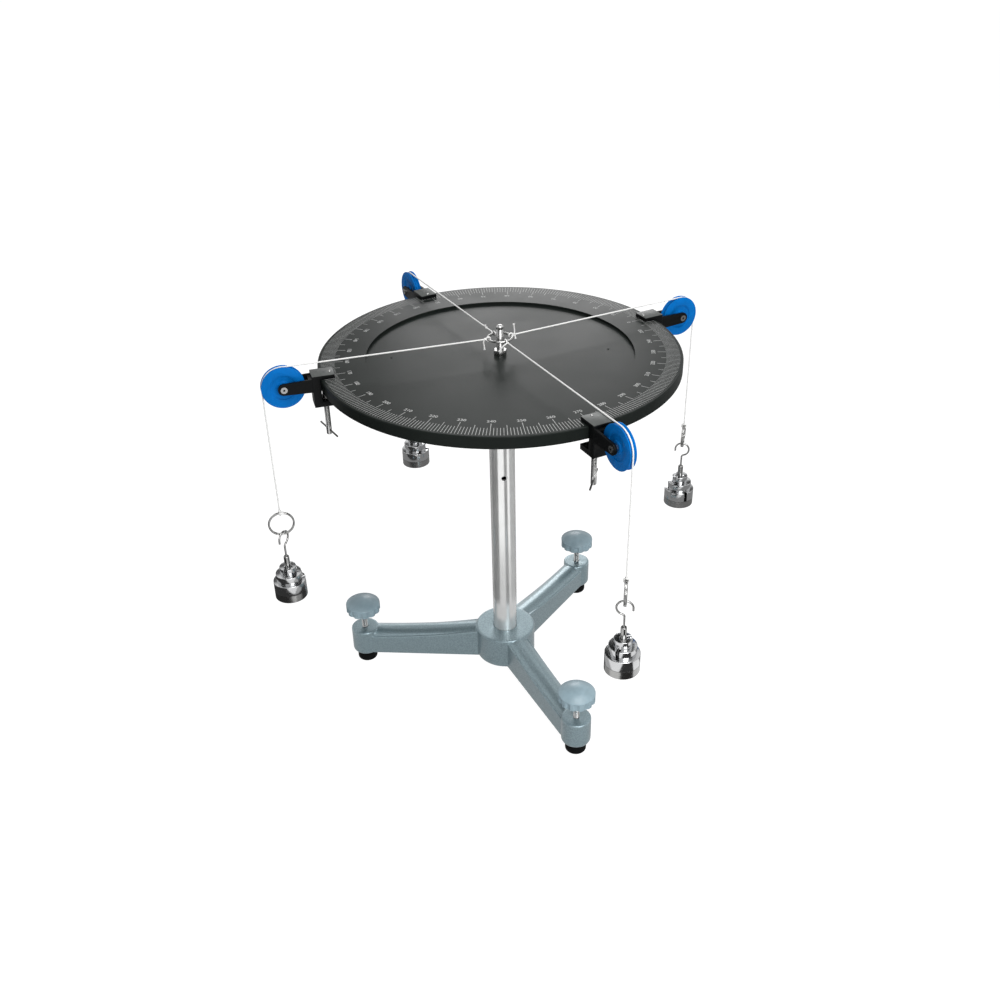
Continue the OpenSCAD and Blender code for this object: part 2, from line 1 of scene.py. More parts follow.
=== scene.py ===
"""Force table: finishes, degree scale, strings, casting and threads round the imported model."""

import json
import math

import bmesh
import bpy
from bpy.props import FloatProperty, FloatVectorProperty, PointerProperty
from mathutils import Matrix, Vector


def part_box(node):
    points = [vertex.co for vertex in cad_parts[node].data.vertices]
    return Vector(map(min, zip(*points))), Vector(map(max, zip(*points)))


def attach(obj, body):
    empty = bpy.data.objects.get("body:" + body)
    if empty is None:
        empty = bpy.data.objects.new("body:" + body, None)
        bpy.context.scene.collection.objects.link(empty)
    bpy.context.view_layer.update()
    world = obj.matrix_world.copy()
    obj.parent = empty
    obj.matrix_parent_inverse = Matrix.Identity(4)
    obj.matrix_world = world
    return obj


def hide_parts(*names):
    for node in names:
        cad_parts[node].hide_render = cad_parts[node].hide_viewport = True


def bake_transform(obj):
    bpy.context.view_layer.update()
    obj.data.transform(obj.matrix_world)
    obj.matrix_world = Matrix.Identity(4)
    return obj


bl_info = {
    "name": "Force Table",
    "version": (1, 0, 0),
    "blender": (4, 5, 0),
    "location": "3D View > Sidebar > Force Table",
    "description": "Dresses the packed force table with finishes and fine detail",
    "category": "Object",
}

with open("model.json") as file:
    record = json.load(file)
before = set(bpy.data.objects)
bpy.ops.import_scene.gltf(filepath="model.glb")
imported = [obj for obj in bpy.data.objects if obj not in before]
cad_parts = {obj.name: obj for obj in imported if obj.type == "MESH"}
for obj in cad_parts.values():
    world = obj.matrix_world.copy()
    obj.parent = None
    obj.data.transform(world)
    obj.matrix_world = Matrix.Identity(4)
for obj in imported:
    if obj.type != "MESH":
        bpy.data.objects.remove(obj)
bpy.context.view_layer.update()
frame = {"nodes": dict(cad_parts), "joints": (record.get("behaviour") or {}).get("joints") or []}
NODES = frame["nodes"]
JOINTS = {joint["name"]: joint for joint in frame["joints"]}
CLAMPS = ("left", "left_back", "right_back", "right_front")
FEET = ("front", "back", "left")
MM = 0.001
FULL_TURN = 2.0 * math.pi
UP = Vector((0.0, 0.0, 1.0))


# Settings

def length(name, description, default):
    return FloatProperty(name=name, description=description, default=default, unit="LENGTH", precision=5)


def amount(name, description, default, subtype="NONE"):
    return FloatProperty(name=name, description=description, default=default, min=0.0, subtype=subtype)


def angle(name, description, degrees):
    return FloatProperty(name=name, description=description, default=math.radians(degrees), unit="ROTATION")


def colour(name, description, default):
    return FloatVectorProperty(name=name, description=description, default=default, subtype="COLOR",
                               size=3, min=0.0, max=1.0)


class ForceTableStage(bpy.types.PropertyGroup):
    camera_place: FloatVectorProperty(name="Camera", description="Where the camera stands",
                                      default=(-0.4103, -1.0101, 0.9172),
                                      subtype="TRANSLATION", unit="LENGTH")
    camera_turn: angle("Heading", "Turn of the view from the +Y axis, clockwise from above", 21.92)
    camera_dip: angle("Dip", "How far the camera looks down", 31.63)
    camera_roll: angle("Roll", "Tilt of the camera about its own view", -1.16)
    lens: FloatProperty(name="Lens", description="Focal length on a 36 mm sensor", default=38.504,
                        unit="CAMERA")
    floor: colour("Floor", "Colour of the floor", (0.86, 0.86, 0.86))
    glow: amount("Floor glow", "How brightly the floor shows white to the camera and to mirrors", 0.97)
    top_light: amount("Top light", "Strength of the large soft light above", 28.0, "POWER")
    front_light: amount("Front light", "Strength of the soft light in front", 11.0, "POWER")
    back_light: amount("Back light", "Strength of the soft light behind the table", 15.0, "POWER")
    ambient: amount("Surroundings", "Light from all round", 0.36)
    flag: amount("Dark flags", "Brightness of the dark cards that bright metal reflects", 0.05)
    dim_flag: amount("Dim flags", "Brightness of the grey cards that bright metal reflects", 0.32)
    # Painted shadow: the grey card under the base, seen only in reflections, stands in for the shadow that
    # the table and arms cast on the floor
    pale_flag: amount("Pale flag", "Brightness of the card on the floor that the base reflects", 0.55)


class ForceTableCasting(bpy.types.PropertyGroup):
    ledge: length("Ledge", "Height of an arm's ledge at its foot", 0.0420)
    rise: length("Rise", "Radius of the curve in which the ledge rises to the hub", 0.900)
    lip_place: length("Lip place", "Distance of a ledge's lip from the middle of the arm", 0.01315)
    lip_radius: length("Lip radius", "Radius of the ledge's rounded lip", 0.00115)
    lip_start: length("Lip start", "Radius inside the hub at which the lips begin", 0.034)
    boss_radius: length("Boss radius", "Radius of the boss on the end of an arm", 0.0175)


class ForceTableScale(bpy.types.PropertyGroup):
    outer: length("Outer end", "Radius at which every mark begins", 0.1965)
    degree_end: length("One degree", "Radius to which a one degree mark runs", 0.1815)
    five_end: length("Five degrees", "Radius to which a five degree mark runs", 0.1760)
    ten_end: length("Ten degrees", "Radius to which a ten degree mark runs", 0.1725)
    mark_width: length("Mark width", "Width of a mark", 0.00052)
    number_radius: length("Number radius", "Radius at the middle of the numbers", 0.1680)
    number_size: length("Number size", "Type size of the numbers", 0.0062)
    number_weight: length("Number weight", "How far the numbers' strokes grow on each side", 0.00009)
    zero: angle("Zero", "Direction of the zero mark", 4.55)
    proud: length("Ink height", "Height of the ink above the table", 0.00004)


class ForceTableString(bpy.types.PropertyGroup):
    thickness: length("Thickness", "Diameter of the string", 0.0017)
    lay: length("Lay", "Length of one turn of the string's strands", 0.0042)
    knot: length("Knot", "Size of a knot", 0.0036)
    ring_loop: length("Ring loop", "Radius of the loop on the centre ring", 0.00225)
    split_loop: length("Split ring loop", "Radius of the loop on a split ring", 0.0027)
    knot_step: length("Knot step", "How far the ring's knots sit outside its loops", 0.0010)
    ring_radius: length("Ring radius", "Radius of the centre ring, to the middle of its wire", 0.0134)


class ForceTableFinish(bpy.types.PropertyGroup):
    casting: colour("Casting", "Hammered enamel on the base", (0.228, 0.310, 0.342))
    knob: colour("Knob", "Moulded levelling knobs", (0.255, 0.350, 0.398))
    table: colour("Table", "Black anodised table", (0.0085, 0.0108, 0.0096))
    clamp: colour("Clamp", "Black enamel on the clamps", (0.0032, 0.0036, 0.0038))
    # The paler grey of the clamps' jaw tops: rubbed wear and a painted sheen
    worn: colour("Worn enamel", "Rubbed top of the clamps", (0.085, 0.090, 0.088))
    pulley: colour("Pulley", "Blue of the pulleys", (0.0005, 0.118, 0.400))
    column: colour("Column", "Satin plated column", (0.820, 0.825, 0.820))
    chrome: colour("Chrome", "Plated masses", (0.560, 0.565, 0.572))
    steel: colour("Steel", "Bare steel of the post, its nut and the screws", (0.520, 0.520, 0.515))
    wire: colour("Wire", "Dull plating of the rings, hooks and axles", (0.370, 0.370, 0.365))
    pin: colour("Pin", "Blackened cross pins of the clamp screws", (0.085, 0.085, 0.082))
    rubber: colour("Rubber", "Feet", (0.0050, 0.0053, 0.0055))
    string: colour("String", "Twisted string", (0.700, 0.700, 0.692))
    ink: colour("Ink", "Marks and numbers of the scale", (0.340, 0.345, 0.340))


SETTINGS = {
    "force_table_stage": ForceTableStage,
    "force_table_casting": ForceTableCasting,
    "force_table_scale": ForceTableScale,
    "force_table_string": ForceTableString,
    "force_table_finish": ForceTableFinish,
}


# Shader expressions

class Wire:
    """An output of a shader node that takes part in Python arithmetic."""

    def __init__(self, paint, socket):
        self.paint = paint
        self.socket = socket

    def math(self, operation, *values):
        return self.paint.node("ShaderNodeMath", {"operation": operation}, dict(enumerate(values)))

    def __add__(self, other):
        return self.math("ADD", self, other)

    def __mul__(self, other):
        return self.math("MULTIPLY", self, other)

    def __rsub__(self, other):
        return self.math("SUBTRACT", other, self)

    def sine(self):
        return self.math("SINE", self)

    def spread(self, low, high, to_low=0.0, to_high=1.0):
        """Maps low..high smoothly to to_low..to_high and holds the ends."""
        return self.paint.node("ShaderNodeMapRange", {"interpolation_type": "SMOOTHSTEP"},
                               {0: self, 1: low, 2: high, 3: to_low, 4: to_high})


class Paint:
    """The node tree of a material or of the world."""

    def __init__(self, owner):
        owner.use_nodes = True
        self.tree = owner.node_tree
        self.tree.nodes.clear()

    def node(self, kind, settings=None, sockets=None, out=0):
        made = self.tree.nodes.new(kind)
        for key, value in (settings or {}).items():
            setattr(made, key, value)
        for key, value in (sockets or {}).items():
            if isinstance(value, Wire):
                self.tree.links.new(value.socket, made.inputs[key])
            else:
                made.inputs[key].default_value = value
        return Wire(self, made.outputs[out])

    def place(self, out="Object"):
        return self.node("ShaderNodeTexCoord", out=out)

    def axes(self, vector):
        split = self.node("ShaderNodeSeparateXYZ", sockets={0: vector})
        outputs = split.socket.node.outputs
        return [Wire(self, outputs[i]) for i in range(3)]

    def stretch(self, vector, scale, turn=(0, 0, 0)):
        return self.node("ShaderNodeMapping", sockets={0: vector, "Rotation": turn, "Scale": scale})

    def noise(self, vector, size, detail):
        """Cloudy noise whose features are about this size, in metres."""
        return self.node("ShaderNodeTexNoise", sockets={"Vector": vector, "Scale": 1.0 / size,
                                                        "Detail": detail, "Roughness": 0.55})

    def cells(self, vector, size):
        """Soft rounded cells of about this size, in metres."""
        return self.node("ShaderNodeTexVoronoi", {"feature": "SMOOTH_F1"},
                         {"Vector": vector, "Scale": 1.0 / size, "Smoothness": 0.6})

    def seen(self):
        """One for a ray from the camera or a mirror, nought for soft light."""
        rays = self.tree.nodes.new("ShaderNodeLightPath").outputs
        camera, mirror, clear = (Wire(self, rays[f"Is {kind} Ray"])
                                 for kind in ("Camera", "Glossy", "Transmission"))
        return camera + mirror + clear

    def mix(self, mask, first, second):
        def shade(value):
            return value if isinstance(value, Wire) else (*value, 1.0)
        return self.node("ShaderNodeMix", {"data_type": "RGBA"},
                         {0: mask, 6: shade(first), 7: shade(second)}, out=2)

    def bump(self, height, depth, strength):
        return self.node("ShaderNodeBump",
                         sockets={"Height": height, "Distance": depth, "Strength": strength})

    def surface(self, **sockets):
        named = {key.replace("_", " "): value for key, value in sockets.items()}
        return self.node("ShaderNodeBsdfPrincipled", sockets=named)

    def finish(self, shader, kind="ShaderNodeOutputMaterial"):
        out = self.tree.nodes.new(kind)
        self.tree.links.new(shader.socket, out.inputs["Surface"])


FINISHES = {}


def material(name):
    """A new material that the pieces share under this name."""
    made = bpy.data.materials.new(name)
    FINISHES[name] = made
    return Paint(made)


def rgb(values, gain=1.0):
    return tuple(min(1.0, max(0.0, value * gain)) for value in values)


def hammered_enamel(name, base):
    """Hammered stove enamel: rounded cells over an uneven casting, with painted highlight on their crowns
    and painted shade at their edges.
    """
    paint = material(name)
    spot = paint.place()
    drift = paint.noise(spot, size=0.045, detail=2.0)
    cell = paint.cells(spot, size=0.0017)
    grain = paint.noise(spot, size=0.0008, detail=2.0)
    # Painted highlight and shade: each cell's raised crown is painted paler and its low edge darker,
    # following the bump
    shade = paint.mix(cell.spread(0.15, 0.75), rgb(base, 1.12), rgb(base, 0.86))
    shade = paint.mix(drift.spread(0.35, 0.65, 0.0, 0.35), shade, rgb(base, 0.92))
    rough = cell.spread(0.1, 0.8, 0.30, 0.40) + grain * 0.05
    height = (1.0 - cell) * 0.8 + grain * 0.2
    paint.finish(paint.surface(Base_Color=shade, Roughness=rough, Metallic=0.6, Specular_IOR_Level=0.9,
                               Coat_Weight=0.5, Coat_Roughness=0.22,
                               Normal=paint.bump(height, depth=0.00009, strength=0.6)))


def moulded_plastic(name, base, rough, grain_size, gloss):
    """Moulded plastic with a fine spark-eroded grain and faint flow marks."""
    paint = material(name)
    spot = paint.place()
    grain = paint.noise(spot, size=grain_size, detail=3.0)
    flow = paint.noise(paint.stretch(spot, (1.0, 1.0, 0.4)), size=0.012, detail=2.0)
    shade = paint.mix(flow.spread(0.3, 0.7), rgb(base, 0.93), rgb(base, 1.07))
    paint.finish(paint.surface(Base_Color=shade, Specular_IOR_Level=gloss,
                               Roughness=grain.spread(0.3, 0.7, rough - 0.04, rough + 0.06),
                               Normal=paint.bump(grain, depth=0.00005, strength=0.5)))


def black_anodised(name, base):
    """Fine-blasted anodised aluminium: dark, with a dry sheen and faint handling marks."""
    paint = material(name)
    spot = paint.place()
    grain = paint.noise(spot, size=0.0007, detail=2.0)
    cloud = paint.noise(spot, size=0.06, detail=3.0)
    scuff = paint.noise(paint.stretch(spot, (1.0, 5.0, 1.0), (0.0, 0.0, 0.6)), size=0.022, detail=4.0)
    shade = paint.mix(cloud.spread(0.3, 0.7), rgb(base, 0.88), rgb(base, 1.15))
    shade = paint.mix(scuff.spread(0.6, 0.8, 0.0, 0.25), shade, rgb(base, 1.7))
    rough = cloud.spread(0.3, 0.7, 0.28, 0.34) + grain * 0.05
    paint.finish(paint.surface(Base_Color=shade, Roughness=rough, Specular_IOR_Level=0.06,
                               Normal=paint.bump(grain, depth=0.00004, strength=0.5)))


def black_enamel(name, base, worn, top):
    """Black enamel on the clamps, painted paler grey in patches on the top of the upper jaw: rubbed wear
    and a painted sheen.
    """
    paint = material(name)
    spot = paint.place()
    height = paint.axes(spot)[2]
    peel = paint.noise(spot, size=0.0016, detail=2.0)
    wear = paint.noise(spot, size=0.005, detail=4.0)
    # Painted sheen with rubbed wear: the top face of the upper jaw is painted paler grey in patches
    rubbed_sheen = height.spread(top - 0.0005, top - 0.0001) * wear.spread(0.25, 0.5, 0.75, 1.0)
    shade = paint.mix(rubbed_sheen, rgb(base), rgb(worn))
    rough = peel.spread(0.3, 0.7, 0.30, 0.42)
    paint.finish(paint.surface(Base_Color=shade, Roughness=rough, Specular_IOR_Level=0.09,
                               Normal=paint.bump(peel, depth=0.00005, strength=0.5)))


def bright_metal(name, base, rough, streak, stretch, metal=1.0):
    """Plated or bare metal with a polishing direction in its gloss."""
    paint = material(name)
    spot = paint.place()
    haze = paint.noise(spot, size=0.03, detail=3.0)
    lines = paint.noise(paint.stretch(spot, stretch), size=0.0012, detail=3.0)
    shade = paint.mix(haze.spread(0.3, 0.7), rgb(base, 0.95), rgb(base, 1.04))
    gloss = haze.spread(0.35, 0.7, rough, rough * 1.15) + lines * streak
    paint.finish(paint.surface(Base_Color=shade, Roughness=gloss, Metallic=metal,
                               Normal=paint.bump(lines, depth=0.00001, strength=0.25)))


def moulded_rubber(name, base):
    """Matt rubber with a little dust on it."""
    paint = material(name)
    spot = paint.place()
    grain = paint.noise(spot, size=0.0011, detail=3.0)
    dust = paint.noise(spot, size=0.007, detail=3.0)
    shade = paint.mix(dust.spread(0.5, 0.75, 0.0, 0.5), rgb(base), rgb(base, 2.2))
    paint.finish(paint.surface(Base_Color=shade, Specular_IOR_Level=0.05,
                               Roughness=grain.spread(0.3, 0.7, 0.62, 0.78),
                               Normal=paint.bump(grain, depth=0.00008, strength=0.6)))


def twisted_string(name, base, lay):
    """Three strands laid round each other, on the tube's own map, with painted shade in the grooves between
    them.
    """
    paint = material(name)
    across, along, _ = paint.axes(paint.place("UV"))
    strand = ((across * 3.0 + along * (1.0 / lay)) * FULL_TURN).sine() * 0.5 + 0.5
    fibre = paint.noise(paint.place(), size=0.0006, detail=3.0)
    # Painted shade: the grooves between the strands are painted darker than the strands' crowns
    shade = paint.mix(strand.spread(0.0, 0.45), rgb(base, 0.90), rgb(base))
    height = strand * 0.8 + fibre * 0.2
    paint.finish(paint.surface(Base_Color=shade, Roughness=fibre.spread(0.3, 0.7, 0.80, 0.95),
                               Normal=paint.bump(height, depth=0.00012, strength=0.5)))


def scale_ink(name, base):
    """Screen-printed ink, thinner in places."""
    paint = material(name)
    spot = paint.place()
    thin = paint.noise(spot, size=0.0018, detail=3.0)
    shade = paint.mix(thin.spread(0.3, 0.6), rgb(base, 0.72), rgb(base, 1.05))
    paint.finish(paint.surface(Base_Color=shade, Roughness=thin.spread(0.3, 0.7, 0.5, 0.65)))


# Modelling helpers

def clear_selection():
    if bpy.context.object and bpy.context.object.mode != "OBJECT":
        bpy.ops.object.mode_set(mode="OBJECT")
    bpy.ops.object.select_all(action="DESELECT")


def pick(piece):
    clear_selection()
    piece.select_set(True)
    bpy.context.view_layer.objects.active = piece


def edit(piece):
    """Opens the mesh with all of it selected."""
    pick(piece)
    bpy.ops.object.mode_set(mode="EDIT")
    bpy.ops.mesh.select_mode(type="VERT")
    bpy.ops.mesh.select_all(action="SELECT")


def done():
    bpy.ops.object.mode_set(mode="OBJECT")


def modify(piece, kind, **settings):
    """Adds a modifier and applies it."""
    modifier = piece.modifiers.new(kind.title(), kind)
    for key, value in settings.items():
        setattr(modifier, key, value)
    pick(piece)
    bpy.ops.object.modifier_apply(modifier=modifier.name)


def settle(piece, matrix=None):
    """Puts the object's place, and a further move, into its mesh."""
    bpy.context.view_layer.update()
    piece.data.transform((matrix or Matrix()) @ piece.matrix_world)
    piece.matrix_world = Matrix()
    return piece


def cad_copy(node, name):
    """A merged copy of a CAD node, ready to be worked on."""
    clear_selection()
    piece = bpy.data.objects.new(name, NODES[node].data.copy())
    bpy.context.collection.objects.link(piece)
    piece.data.materials.clear()
    edit(piece)
    bpy.ops.mesh.customdata_custom_splitnormals_clear()
    bpy.ops.mesh.remove_doubles(threshold=0.000002)
    done()
    return piece


def softened(node, name, width, limit=32.0, steps=2):
    """A copy of a CAD node whose sharp edges are rounded by width."""
    piece = cad_copy(node, name)
    edit(piece)
    bpy.ops.mesh.dissolve_limited(angle_limit=math.radians(1.0), delimit={"SHARP"})
    done()
    modify(piece, "BEVEL", width=width, segments=steps, limit_method="ANGLE",
           angle_limit=math.radians(limit), use_clamp_overlap=True, harden_normals=False)
    smooth(piece, limit=34.0)
    return piece


def smooth(piece, limit):
    pick(piece)
    bpy.ops.object.shade_smooth_by_angle(angle=math.radians(limit))


def twin(piece, name, matrix):
    """A copy with its own mesh, moved by matrix."""
    copy = bpy.data.objects.new(name, piece.data.copy())
    bpy.context.collection.objects.link(copy)
    return settle(copy, matrix)


def joined(pieces, name):
    clear_selection()
    for piece in pieces:
        piece.select_set(True)
    bpy.context.view_layer.objects.active = pieces[0]
    bpy.ops.object.join()
    pieces[0].name = name
    pieces[0].data.name = name
    return pieces[0]


def turned(name, profile, steps=48):
    """Turns (radius, height) points about Z: a circle is drawn out and resized from point to point."""
    clear_selection()
    bpy.ops.mesh.primitive_circle_add(vertices=steps, radius=profile[0][0], fill_type="NGON",
                                      location=(0.0, 0.0, profile[0][1]))
    piece = bpy.context.object
    piece.name = name
    bpy.ops.object.mode_set(mode="EDIT")
    bpy.ops.mesh.select_all(action="SELECT")
    for (r0, z0), (r1, z1) in zip(profile, profile[1:]):
        bpy.ops.mesh.extrude_region_move(TRANSFORM_OT_translate={"value": (0.0, 0.0, z1 - z0)})
        bpy.ops.transform.resize(value=(r1 / r0, r1 / r0, 1.0), center_override=(0.0, 0.0, z1))
    bpy.ops.mesh.select_all(action="SELECT")
    bpy.ops.mesh.normals_make_consistent(inside=False)
    done()
    return settle(piece)


def threaded(name, low, high, radius, depth, pitch):
    """A rod along Z whose surface is a helical thread, closed at both ends."""
    turns = int((high - low) / pitch)
    steps = 20
    weld = 0.00001
    clear_selection()
    bpy.ops.mesh.primitive_plane_add(size=1.0)
    piece = bpy.context.object
    piece.name = name
    shape = [(radius - depth, 0.0), (radius, 0.4 * pitch),
             (radius, 0.6 * pitch), (radius - depth, pitch)]
    flank = bmesh.new()
    corners = [flank.verts.new((r, 0.0, z)) for r, z in shape]
    for first, second in zip(corners, corners[1:]):
        flank.edges.new((first, second))
    flank.to_mesh(piece.data)
    flank.free()
    modify(piece, "SCREW", axis="Z", angle=FULL_TURN, steps=steps, render_steps=steps,
           iterations=turns, screw_offset=pitch, use_merge_vertices=True, merge_threshold=weld)
    edit(piece)
    bpy.ops.mesh.remove_doubles(threshold=weld)
    bpy.ops.mesh.select_all(action="DESELECT")
    bpy.ops.mesh.select_non_manifold()
    bpy.ops.mesh.fill()
    bpy.ops.mesh.select_all(action="SELECT")
    bpy.ops.mesh.normals_make_consistent(inside=False)
    done()
    return settle(piece, Matrix.Translation((0.0, 0.0, low)))


def tube(name, points, radius, sides=10, closed=False):
    """A round tube along points, its map's U going round it and V along it.

    radius is one number, or one for each point.
    """
    points = [Vector(point) for point in points]
    count = len(points)
    radii = radius if isinstance(radius, (list, tuple)) else [radius] * count
    body = bmesh.new()
    chart = body.loops.layers.uv.new("UVMap")
    ways = []
    for i, point in enumerate(points):
        before = points[i - 1] if i or closed else point
        after = points[(i + 1) % count] if i + 1 < count or closed else point
        ways.append((after - before).normalized())
    side = ways[0].orthogonal().normalized()
    rings, run, marks = [], 0.0, []
    for i, (point, way) in enumerate(zip(points, ways)):
        side = (side - way * side.dot(way)).normalized()
        other = way.cross(side)
        if i:
            run += (point - points[i - 1]).length
        marks.append(run)
        rings.append([body.verts.new(point + (side * math.cos(a) + other * math.sin(a)) * radii[i])
                      for a in (FULL_TURN * k / sides for k in range(sides))])
    for i in range(count if closed else count - 1):
        j = (i + 1) % count
        far = marks[j] if j else run + (points[0] - points[-1]).length
        for k in range(sides):
            m = (k + 1) % sides
            face = body.faces.new((rings[i][k], rings[i][m], rings[j][m], rings[j][k]))
            face.smooth = True
            corners = ((k, marks[i]), (k + 1, marks[i]), (k + 1, far), (k, far))
            for loop, (step, along) in zip(face.loops, corners):
                loop[chart].uv = (step / sides, along)
    if not closed:
        body.faces.new(list(reversed(rings[0])))
        body.faces.new(rings[-1])
    bmesh.ops.recalc_face_normals(body, faces=body.faces)
    mesh = bpy.data.meshes.new(name)
    body.to_mesh(mesh)
    body.free()
    piece = bpy.data.objects.new(name, mesh)
    bpy.context.collection.objects.link(piece)
    return piece


def circle(centre, across, up, radius):
    """Points of a circle about centre in the plane of two directions."""
    count = 28
    return [centre + (across * math.cos(a) + up * math.sin(a)) * radius
            for a in (FULL_TURN * k / count for k in range(count))]


def coat(piece, finish):
    piece.data.materials.clear()
    piece.data.materials.append(FINISHES[finish])
    return piece


def dress(piece, body, finish, slot, *nodes):
    """Gives a new piece its finish and the body that it rides on, in place of these CAD nodes."""
    coat(piece, finish)
    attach(piece, body)
    if nodes:
        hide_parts(*nodes)
    return piece


def pivot(joint):
    return Vector(JOINTS[joint]["pos_m"])


def axis(joint):
    return Vector(JOINTS[joint]["axis"])


def clamp_turn(clamp):
    """The turn about Z that brings +X to the clamp's direction."""
    way = JOINTS[f"string_{clamp}_swing"]["axis"]
    return Matrix.Rotation(math.atan2(way[1], way[0]), 4, "Z")


def free_of(piece, bores):
    """Puts all vertices outside these (centre, radius) bores into a vertex group."""
    group = piece.vertex_groups.new(name="free")
    chosen = [vertex.index for vertex in piece.data.vertices
              if all((vertex.co.xy - centre).length > radius for centre, radius in bores)]
    group.add(chosen, 1.0, "REPLACE")
    return group.name


def cast(piece, voxel, bores, rounds, share):
    """Gives a CAD copy soft edges all over, except in its bores, and keeps this share of the faces."""
    modify(piece, "REMESH", mode="VOXEL", voxel_size=voxel, use_smooth_shade=True)
    modify(piece, "SMOOTH", factor=0.5, iterations=rounds, vertex_group=free_of(piece, bores))
    piece.vertex_groups.clear()
    modify(piece, "DECIMATE", ratio=share)
    smooth(piece, limit=60.0)


# Operators

